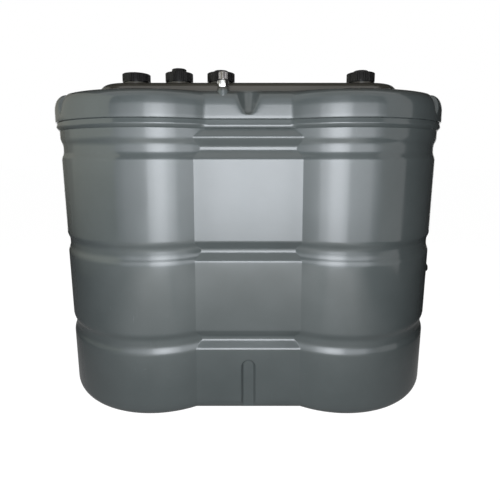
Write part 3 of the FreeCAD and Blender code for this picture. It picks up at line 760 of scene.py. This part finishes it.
print("lid:", len(lid_skin.data.polygons), "faces")

# %% [markdown]
# ## Bosses on the lid
# A low round boss carries each neck, and a cone that flares into the shoulder carries the outlet.
# They are turned rings, sunk a little into the lid, so no gap can show.

# %% Neck bosses and the outlet's cone
NECK_SEAT = 1.297
LARGE_STEPS = 96
neck_boss = [(NECK_HOLE, -0.01), (0.0515, -0.01), (0.0515, -0.004), (0.0506, -0.0034),
             (0.0502, -0.0024), (0.05, -0.001), (0.0492, 0.0), (NECK_HOLE, 0.0)]
for use, (x, y) in necks.items():
    turned_piece(use + "_boss", neck_boss, LARGE_STEPS, (x, y, NECK_SEAT), lid_plastic, loop=True)
cone_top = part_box("outlet_washer")[0].z
cone = [(STEM_HOLE, -0.045), (0.02, -0.045), (0.0214, -0.036), (0.0217, -0.03),
        (0.0216, -0.026), (0.0214, -0.02), (0.0212, -0.011), (0.021, -0.004),
        (0.0206, -0.0012), (0.0196, 0.0), (STEM_HOLE, 0.0)]
turned_piece("outlet_cone", cone, LARGE_STEPS, outlet + (cone_top,), lid_plastic, loop=True)
print("outlet cone up to", round(cone_top, 4))

# %% [markdown]
# ## Grip ribs
# Caps, the barrel and the plug have fine upright ribs for the fingers. They repeat by a rule,
# so Geometry Nodes makes them: a circle of points, one round bar on each, turned to face
# outwards. The same tree serves every ribbed piece with other inputs.

# %% The rib tree
def rib_tree():
    """Round bars on a circle of points, turned to face outwards, then placed as one."""
    tree = bpy.data.node_groups.new("ribs_around", "GeometryNodeTree")
    made = {}
    for label, kind in (("Geometry", "Geometry"), ("Count", "Int"), ("Radius", "Float"),
                        ("Rib Size", "Vector"), ("Place", "Vector"), ("Turn", "Vector"),
                        ("Finish", "Material")):
        socket = tree.interface.new_socket(label, in_out="INPUT", socket_type="NodeSocket" + kind)
        made[label] = socket.identifier
    tree.interface.new_socket("Geometry", in_out="OUTPUT", socket_type="NodeSocketGeometry")
    given = tree.nodes.new("NodeGroupInput").outputs
    circle = add_node(tree, "GeometryNodeMeshCircle", Vertices=given["Count"],
                      Radius=given["Radius"]).outputs["Mesh"]
    bar = add_node(tree, "GeometryNodeMeshCylinder", Vertices=10, Radius=0.5, Depth=1.0)
    bar = add_node(tree, "GeometryNodeTransform", Geometry=bar.outputs["Mesh"],
                   Scale=given["Rib Size"]).outputs["Geometry"]
    index = tree.nodes.new("GeometryNodeInputIndex").outputs[0]
    share = math_node(tree, "DIVIDE", index, given["Count"])
    outward = add_node(tree, "ShaderNodeCombineXYZ",
                       Z=math_node(tree, "MULTIPLY", share, 2 * math.pi)).outputs["Vector"]
    bars = add_node(tree, "GeometryNodeInstanceOnPoints", Points=circle, Instance=bar,
                    Rotation=outward).outputs["Instances"]
    bars = add_node(tree, "GeometryNodeTransform", Geometry=bars, Translation=given["Place"],
                    Rotation=given["Turn"]).outputs["Geometry"]
    bars = add_node(tree, "GeometryNodeRealizeInstances", Geometry=bars).outputs["Geometry"]
    bars = add_node(tree, "GeometryNodeSetMaterial", Geometry=bars,
                    Material=given["Finish"]).outputs["Geometry"]
    add_node(tree, "NodeGroupOutput", Geometry=bars)
    return tree, made


# %% Ribs from the tree, kept as a plain mesh
ribs_around, rib_input = rib_tree()


def ribs(name, count, radius, rib_size, place, finish, turn=(0.0, 0.0, 0.0)):
    """Grip ribs round a circle, made by the tree and kept as a plain mesh."""
    maker = add_object(name + "_maker", bpy.data.meshes.new(name + "_maker"))
    modifier = maker.modifiers.new("ribs", "NODES")
    modifier.node_group = ribs_around
    for label, value in (("Count", count), ("Radius", radius), ("Rib Size", rib_size),
                         ("Place", place), ("Turn", turn), ("Finish", finish)):
        modifier[rib_input[label]] = value
    view = bpy.context.evaluated_depsgraph_get()
    mesh = bpy.data.meshes.new_from_object(maker.evaluated_get(view))
    mesh.name = name
    bpy.data.objects.remove(maker)
    finish_piece(name, mesh, finish)


# %% [markdown]
# ## The screw caps
# Four black caps close the necks. Three have a round knob in the middle, the vent's the tallest,
# and the fill cap only a low raised disc. Each is turned from one profile, hollow below so that
# it sits over its neck, and gets a crown of fine ribs round its skirt.

# %% Profiles of the caps
FILL_SKIRT = 0.0305
KNOB_SKIRT = 0.034
SKIRT_DROP = 0.0024


def skirt_profile(skirt):
    """The hollow underside and the skirt, up to the flat top."""
    return [(0.0, 0.024), (0.038, 0.024), (0.0392, 0.0228), (0.0392, 0.001), (0.043, 0.0),
            (0.046, -SKIRT_DROP), (0.0508, -SKIRT_DROP), (0.0517, 0.0009 - SKIRT_DROP),
            (0.0517, skirt - 0.0014), (0.0512, skirt - 0.0004), (0.0502, skirt)]


def disc_profile(skirt, tall):
    """The low raised disc of the fill cap."""
    return [(0.0385, skirt), (0.0372, skirt + 0.0005), (0.0352, skirt + 0.0022), (0.02, tall),
            (0.0, tall)]


def knob_profile(skirt, tall):
    """The round knob of the others, with an eased top edge."""
    return [(0.0293, skirt), (0.028, skirt + 0.0008), (0.0274, skirt + 0.0022),
            (0.0272, tall - 0.0036), (0.0266, tall - 0.0017), (0.0252, tall - 0.0006),
            (0.0225, tall), (0.0, tall)]


# %% Caps with a knob and one without
CAP_RIBS = 44
KNOB_RIBS = 22
for use in caps:
    low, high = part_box(use + "_cap")
    x, y = centre_of(use + "_cap")
    tall = high.z - low.z
    if use == "fill":
        skirt = FILL_SKIRT
        middle = disc_profile(skirt, tall)
    else:
        skirt = KNOB_SKIRT
        middle = knob_profile(skirt, tall)
        ribs(use + "_knob_ribs", KNOB_RIBS, 0.027, (0.0024, 0.004, tall - skirt - 0.0045),
             (x, y, (low.z + skirt + high.z) / 2), cap_plastic)
    turned_piece(use + "_cap_body", skirt_profile(skirt) + middle, LARGE_STEPS, (x, y, low.z),
                 cap_plastic, use + "_cap")
    ribs(use + "_cap_ribs", CAP_RIBS, 0.0516, (0.0028, 0.004, skirt - 0.003),
         (x, y, low.z + skirt / 2 + 0.0002), cap_plastic)
    print(use, "cap at", [round(v, 4) for v in (x, y, low.z)], "tall", round(tall, 4))

# %% [markdown]
# ## The plated outlet
# A hexagon nut holds the suction outlet on its conical boss, and a ribbed barrel screws on top.
# A hexagon is a turned piece whose radius follows the flat, and the nut's corners are taken off
# by a shallow cone at both ends, as on any real nut.

# %% Nut
NUT_FLATS = 0.039
NUT_TURN = math.radians(-8.0)
NUT_BORE = 0.0102
NUT_STEPS = 120
nut_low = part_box("outlet_nut")[0].z


def hexagon(radius, angle):
    """The flat's distance at this angle, cut back to the cone's radius; the bore stays round."""
    if radius < NUT_FLATS * 0.4:
        return radius
    turn = ((angle - NUT_TURN) % (math.pi / 3)) - math.pi / 6
    return min(NUT_FLATS / 2 / math.cos(turn), radius)


nut_profile = [(NUT_BORE, 0.0), (0.019, 0.0), (0.0205, 0.0008), (0.023, 0.003),
               (0.023, 0.0195), (0.0198, 0.0242), (0.0178, 0.026), (NUT_BORE, 0.026)]
turned_piece("outlet_nut_hexagon", nut_profile, NUT_STEPS, outlet + (nut_low,), plated_metal,
             "outlet_nut", shape=hexagon, loop=True)
print("outlet nut from", round(nut_low, 4))

# %% Barrel
BARREL_RIBS = 8
PIPE_BORE = 0.0051
barrel_low, barrel_high = (corner.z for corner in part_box("outlet_barrel"))
tall = barrel_high - barrel_low
barrel_profile = [(PIPE_BORE, 0.0), (0.0128, 0.0), (0.0138, 0.001), (0.0138, tall - 0.004),
                  (0.0134, tall - 0.0024), (0.0128, tall - 0.0008), (0.0118, tall),
                  (0.0062, tall), (PIPE_BORE, tall - 0.0012)]
turned_piece("outlet_barrel_body", barrel_profile, SMALL_STEPS, outlet + (barrel_low,), dull_metal,
             "outlet_barrel", loop=True)
ribs("outlet_barrel_ribs", BARREL_RIBS, 0.0136, (0.0056, 0.0074, tall - 0.006),
     outlet + (barrel_low + tall / 2 - 0.0006,), dull_metal)
print("outlet barrel to", round(barrel_high, 4))

# %% [markdown]
# ## The plug in the right end
# A black plug with a collar and a ribbed grip closes the end boss. It could be built from stacked
# cylinders, but one turned profile along X keeps its collar and rounded edges in a single skin.

# %% Plug
PLUG_RIBS = 18
plug_low, plug_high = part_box("end_plug")
reach = plug_high.x - plug_low.x
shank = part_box("end_washer")[1].x - plug_low.x
plug_profile = [(0.0, 0.0), (0.014, 0.0), (0.0151, 0.0011), (0.0151, shank), (0.0252, shank),
                (0.0263, shank + 0.0011), (0.0263, shank + 0.0105), (0.0252, shank + 0.012),
                (0.019, shank + 0.012), (0.0182, shank + 0.0128), (0.0182, reach - 0.0025),
                (0.017, reach - 0.0006), (0.0155, reach), (0.0098, reach),
                (0.009, reach - 0.001), (0.009, reach - 0.009), (0.0, reach - 0.009)]
turned_piece("end_plug_body", plug_profile, SMALL_STEPS, (plug_low.x, 0.0, PLUG_HEIGHT),
             cap_plastic, "end_plug", along_x=True)
grip_tall = reach - shank - 0.0165
ribs("end_plug_ribs", PLUG_RIBS, 0.0182, (0.0024, 0.004, grip_tall),
     (plug_low.x + shank + 0.013 + grip_tall / 2, 0.0, PLUG_HEIGHT), cap_plastic,
     turn=(0.0, math.pi / 2, 0.0))
print("plug from x", round(plug_low.x, 4), "to", round(plug_high.x, 4))

# %% [markdown]
# ## Finishes on the solids that stay
# The floor, necks, seals, washers and stem are plain turned or flat pieces on the real tank
# too, and are mostly hidden, so their solids stay and only get a finish.

# %% Finish the remaining solids
staying = {"bund_floor": tank_plastic, "outlet_stem": plated_metal}
for node in ("outlet_washer", "outlet_ring", "end_washer"):
    staying[node] = seal_rubber
for use in caps:
    staying[use + "_neck"] = neck_plastic
    staying[use + "_seal"] = seal_rubber
for node, finish in staying.items():
    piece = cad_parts[node]
    piece.data.materials.clear()
    piece.data.materials.append(finish)
print("solids that stay:", list(staying))

# %% [markdown]
# ## The studio
# The tank stands on a pale floor in front of a white ground. One soft lamp in front lights it and
# a weaker one lights its back. The white ground is a plain strength of 1 for what the camera,
# a mirror or glass sees, and adds only a trace of light to the tank. A white room would be
# simpler, but it would also wash out the dark plastic.

# %% Floor
FLOOR_HALF = 30
FLOOR_DROP = 0.0005
FLOOR_TONE = (0.15, 0.15, 0.15, 1.0)
FLOOR_GLOW = 0.985
WHITE = (1.0, 1.0, 1.0, 1.0)


def seen_ground(tree):
    """1 for rays that the camera, a mirror or glass sends out, 0 for light on surfaces."""
    path = tree.nodes.new("ShaderNodeLightPath").outputs
    seen = math_node(tree, "MAXIMUM", path["Is Camera Ray"], path["Is Glossy Ray"])
    return math_node(tree, "MAXIMUM", seen, path["Is Transmission Ray"])


def level(x, front, back, z):
    """Corners of a level board."""
    return [(-x, front, z), (x, front, z), (x, back, z), (-x, back, z)]


floor_mesh = bpy.data.meshes.new("studio_floor")
floor_mesh.from_pydata(level(FLOOR_HALF, -FLOOR_HALF, FLOOR_HALF, 0), [], [(0, 1, 2, 3)])
studio_floor = add_object("studio_floor", floor_mesh)
studio_floor.location.z = -FLOOR_DROP
floor_white = bpy.data.materials.new("floor_white")
floor_white.use_nodes = True
tree = floor_white.node_tree
tree.nodes.clear()
matt = add_node(tree, "ShaderNodeBsdfDiffuse", Color=FLOOR_TONE).outputs["BSDF"]
strength = math_node(tree, "MULTIPLY", seen_ground(tree), FLOOR_GLOW)
glow = add_node(tree, "ShaderNodeEmission", Color=WHITE, Strength=strength).outputs["Emission"]
both = tree.nodes.new("ShaderNodeAddShader")
for socket, light in zip(both.inputs, (matt, glow)):
    tree.links.new(light, socket)
add_node(tree, "ShaderNodeOutputMaterial", Surface=both.outputs["Shader"])
floor_mesh.materials.append(floor_white)

# %% World
AMBIENT = 0.07
world = bpy.data.worlds.new("white_ground")
scene.world = world
world.use_nodes = True
tree = world.node_tree
strength = math_node(tree, "MULTIPLY", seen_ground(tree), 1.0 - AMBIENT)
strength = math_node(tree, "ADD", strength, AMBIENT)
set_inputs(tree.nodes["Background"], Color=WHITE, Strength=strength)
print("ambient light on the tank:", AMBIENT)


# %% Soft boxes, left out of reflections
def soft_box(name, place, aim, width, tall, radiance, tone=(1.0, 1.0, 1.0)):
    """A rectangular lamp with a stated brightness of its face."""
    lamp = bpy.data.lights.new(name, "AREA")
    lamp.shape = "RECTANGLE"
    lamp.size = width
    lamp.size_y = tall
    lamp.energy = radiance * math.pi * width * tall
    lamp.color = tone
    box = add_object(name, lamp)
    box.location = place
    box.rotation_euler = (Vector(aim) - Vector(place)).to_track_quat("-Z", "Y").to_euler()
    box.visible_camera = False
    box.visible_glossy = False


soft_box("key_box", (-0.2, -2.2, 0.95), (0.0, 0.0, 0.95), 1.1, 1.5, 9.6, (0.95, 0.98, 1.0))
soft_box("back_box", (0.0, 2.6, 1.2), (0.0, 0.0, 0.8), 2.0, 1.5, 3.0)
print("lamps:", [lamp.name for lamp in bpy.data.lights])

# %% [markdown]
# ## What the plastic mirrors
# Glossy dark plastic shows mostly what it mirrors: here a bright wall behind the camera, which
# gives the waist its sheen and each lobe one upright band, with dim walls, a ceiling and a floor
# round it. A photograph of a room could light the tank too, but boards that only reflections see
# can be set one by one, and each fades along its own axes.

# %% A board that only reflections see
BLACK = (0.0, 0.0, 0.0)


def ramp_node(tree, value, stops):
    """Brightness along one axis, from pairs of place and share that straight lines join."""
    first, last = stops[0][0], stops[-1][0]
    along = range_node(tree, value, first, last)
    node = add_node(tree, "ShaderNodeValToRGB", Fac=along)
    marks = node.color_ramp.elements
    for place, share in stops[1:-1]:
        marks.new((place - first) / (last - first))
    for mark, (place, share) in zip(marks, stops):
        mark.color = (share, share, share, 1.0)
    return node.outputs["Color"]


def board(name, corners, brightness, tone=(1.0, 1.0, 1.0), **fades):
    """A glowing board out of the picture that gives the glossy plastic something to mirror."""
    mesh = bpy.data.meshes.new(name)
    mesh.from_pydata(corners, [], [(0, 1, 2, 3)])
    card = add_object(name, mesh)
    paint = bpy.data.materials.new(name)
    paint.use_nodes = True
    tree = paint.node_tree
    shader = tree.nodes["Principled BSDF"]
    set_inputs(shader, Base_Color=BLACK + (1.0,), Roughness=1.0, Specular_IOR_Level=0.0,
               Emission_Color=tone + (1.0,), Emission_Strength=brightness)
    axes = split_axes(tree, object_spot(tree))
    glow = tone
    for axis, stops in fades.items():
        glow = mix_tone(tree, ramp_node(tree, axes[axis], stops), BLACK, glow)
    if fades:
        set_inputs(shader, Emission_Color=glow)
    mesh.materials.append(paint)
    card.visible_camera = False
    card.visible_diffuse = False
    card.visible_shadow = False
    return card


def upright(start, end, top):
    """Corners of an upright board on the floor."""
    return [start + (0.0,), end + (0.0,), end + (top,), start + (top,)]


# %% How the boards fade along their axes
WALL_ACROSS = [(-2.2, 0.11), (-1.8, 0.15), (-1.62, 0.21), (-1.2, 0.26), (-0.8, 0.33), (-0.6, 0.42),
               (-0.55, 0.78), (-0.45, 0.78), (-0.2, 1.02), (0.0, 1.22), (0.2, 1.1), (0.45, 0.85),
               (0.55, 0.74), (0.61, 0.45), (0.8, 0.42), (1.5, 0.37), (1.6, 0.35), (1.66, 0.24),
               (1.85, 0.18), (2.2, 0.1)]
WALL_UP = [(0.0, 0.45), (0.15, 0.62), (0.33, 0.75), (0.63, 0.92), (0.93, 1.0), (1.3, 1.0),
           (1.38, 0.86), (1.45, 0.64), (1.54, 0.54), (1.62, 0.28), (1.75, 0.18), (1.96, 0.13),
           (2.3, 0.11), (2.9, 0.11)]
CEILING_ALONG = [(-2.25, 0.6), (-1.5, 0.6), (-1.25, 0.7), (-1.0, 1.0), (-0.85, 0.9),
                 (-0.75, 0.03), (3.0, 0.03)]
LEFT_NEAR_UP = [(0.0, 0.15), (0.5, 0.5), (0.95, 1.0), (2.9, 1.0)]
LEFT_NEAR = [(-2.25, 1.0), (-1.3, 1.0), (-0.7, 0.86), (0.2, 0.55)]
LEFT_FAR = [(0.2, 1.0), (1.0, 0.55), (3.0, 0.25)]
LEFT_UP = [(0.0, 0.1), (0.8, 0.55), (1.22, 0.6), (1.36, 1.0), (2.9, 1.0)]
FLOOR_ACROSS = [(-3.2, 0.22), (-1.4, 0.3), (-0.7, 1.0), (0.7, 1.0), (1.4, 0.06), (3.2, 0.06)]
FLOOR_ALONG = [(-2.25, 1.0), (-1.58, 0.62), (-1.23, 0.42), (-0.91, 0.25), (-0.6, 0.1), (3.0, 0.05)]

# %% The room that the tank mirrors
FRONT = -2.25
BACK = 3.0
FAR_HALF = 3.2
TOP = 2.9
board("front_wall", upright((-2.2, FRONT), (2.2, FRONT), TOP), 11.3, (0.915, 0.945, 1.0),
      X=WALL_ACROSS, Z=WALL_UP)
board("left_front_wall", upright((-2.2, FRONT), (-2.4, 0.2), TOP), 1.35, (0.97, 1.0, 0.86),
      Y=LEFT_NEAR, Z=LEFT_NEAR_UP)
board("left_back_wall", upright((-2.4, 0.2), (-FAR_HALF, BACK), TOP), 0.8, (1.0, 1.0, 0.86),
      Y=LEFT_FAR, Z=LEFT_UP)
board("right_front_wall", upright((2.2, FRONT), (2.3, -0.9), TOP), 0.9)
board("right_back_wall", upright((2.3, -0.9), (FAR_HALF, BACK), TOP), 0.03)
board("far_wall", upright((-FAR_HALF, BACK), (FAR_HALF, BACK), TOP), 1.2)
board("mirrored_ceiling", level(FAR_HALF, FRONT, BACK, TOP), 1.45, Y=CEILING_ALONG)
board("mirrored_floor", level(FAR_HALF, FRONT, BACK, 0.0002), 2.9, X=FLOOR_ACROSS, Y=FLOOR_ALONG)

# %% [markdown]
# ## A gauze in the middle plane
# Each lobe mirrors the bright wall across the middle, and a photographer hangs a gauze to take
# some light off that far half, so that the mirrored band fades inwards. The flat waist looks past
# both its sides. A dimmer wall would darken the waist as well.

# %% Gauze
GAUZE_ALONG = [(-2.2, 0.0), (-1.7, 0.1), (-1.4, 0.27), (-1.1, 0.27), (-0.9, 0.14), (-0.6, 0.04)]
gauze = board("gauze", upright((0.0, -2.2), (0.0, -0.6), 2.6), 0.0)
cloth = gauze.data.materials[0].node_tree
along = split_axes(cloth, object_spot(cloth))["Y"]
set_inputs(cloth.nodes["Principled BSDF"], Alpha=ramp_node(cloth, along, GAUZE_ALONG))
print("gauze from y", GAUZE_ALONG[0][0], "to", GAUZE_ALONG[-1][0])

# %% [markdown]
# ## The camera
# The lens and place were fitted to the picture's edges: the eye stands 1.77 m in front of the
# tank's middle and about 1 m above the floor, and looks a little down. The picture is cut low,
# so the lens is shifted, which moves the frame without bending upright lines.

# %% Camera
FRAME_WIDTH = 500.0
FOCAL = 378.39
OPTICAL_CENTRE = (248.35, 203.26)
SENSOR = 36.0
EYE = (0.0, -1.7736, 1.0159)
LOOK_DOWN = 0.1229
lens = bpy.data.cameras.new("front_camera")
lens.sensor_width = SENSOR
lens.lens = SENSOR * FOCAL / FRAME_WIDTH
lens.shift_x = (FRAME_WIDTH / 2 - OPTICAL_CENTRE[0]) / FRAME_WIDTH
lens.shift_y = (OPTICAL_CENTRE[1] - FRAME_WIDTH / 2) / FRAME_WIDTH
camera = add_object("front_camera", lens)
camera.location = EYE
camera.rotation_euler = (math.pi / 2 - LOOK_DOWN, 0.0, 0.0)
scene.camera = camera
scene.view_settings.view_transform = "Standard"
print("lens:", round(lens.lens, 2), "mm")
